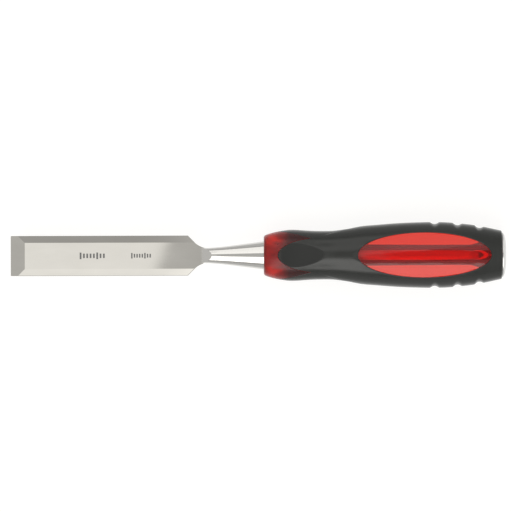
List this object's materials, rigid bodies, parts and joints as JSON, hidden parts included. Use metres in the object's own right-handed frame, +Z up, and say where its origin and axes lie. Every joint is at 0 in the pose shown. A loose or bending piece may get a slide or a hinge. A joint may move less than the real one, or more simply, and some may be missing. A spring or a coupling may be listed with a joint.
{
  "type": "bench chisel",
  "caption": "Bevel-edged bench chisel: flat-backed steel blade, turned neck, clear red handle core, soft black grip with windows, domed steel strike cap.",
  "frame": {"origin": "under the middle of the tool's length, on the plane that the handle's lowest point touches", "axes": "+X from the cutting edge towards the strike cap, +Z up out of the blade's bevelled face, the flat back facing -Z"},
  "size_m": [0.2834, 0.0376, 0.0319],
  "materials": {
    "blade_steel": "ground plate with a polished neck",
    "cap_steel": "turned",
    "clear_red": "clear, tinted, glossy",
    "soft_black": "soft-touch satin"
  },
  "bodies": {
    "root": {"blade": "blade_steel", "handle_core": "clear_red", "soft_grip": "soft_black", "strike_cap": "cap_steel"}
  },
  "joints": []
}
